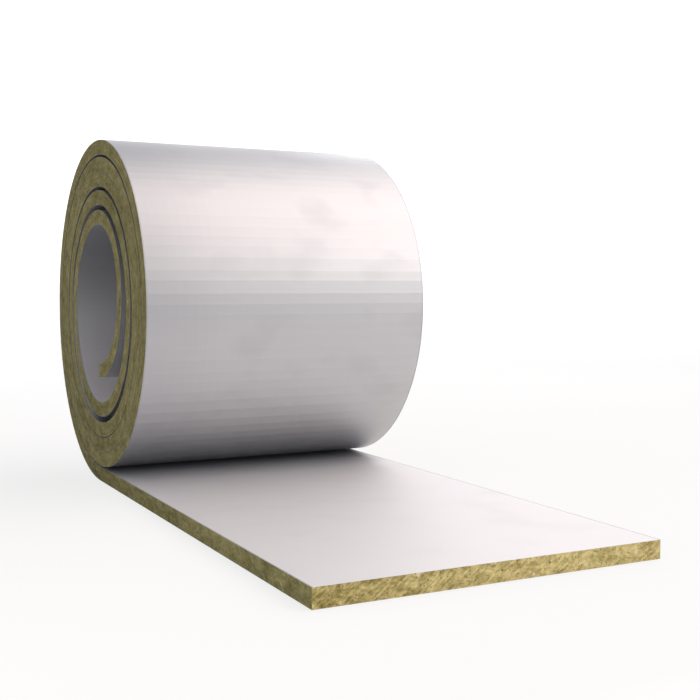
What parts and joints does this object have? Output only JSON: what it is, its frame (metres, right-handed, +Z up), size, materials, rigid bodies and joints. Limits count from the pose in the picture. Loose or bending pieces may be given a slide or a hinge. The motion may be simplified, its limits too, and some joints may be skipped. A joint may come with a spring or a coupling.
{
  "type": "insulation roll",
  "caption": "Stone-wool insulation mat with a foil facing on both faces, wound into a roll with an open core, its free end unrolled flat on the floor.",
  "frame": {"origin": "on the floor below the roll's axis, midway across the mat's width", "axes": "+X along the roll's axis, -Y towards the cut edge of the free end, +Z up"},
  "size_m": [0.6, 1.428, 0.726],
  "materials": {
    "stone_wool": "matt bonded fibre, olive on the slit edges and straw-coloured on the cut end",
    "foil": "satin aluminium foil with fine lines across the mat"
  },
  "bodies": {
    "root": {"wool_mat": "stone_wool", "inner_foil": "foil", "outer_foil": "foil"}
  },
  "joints": []
}
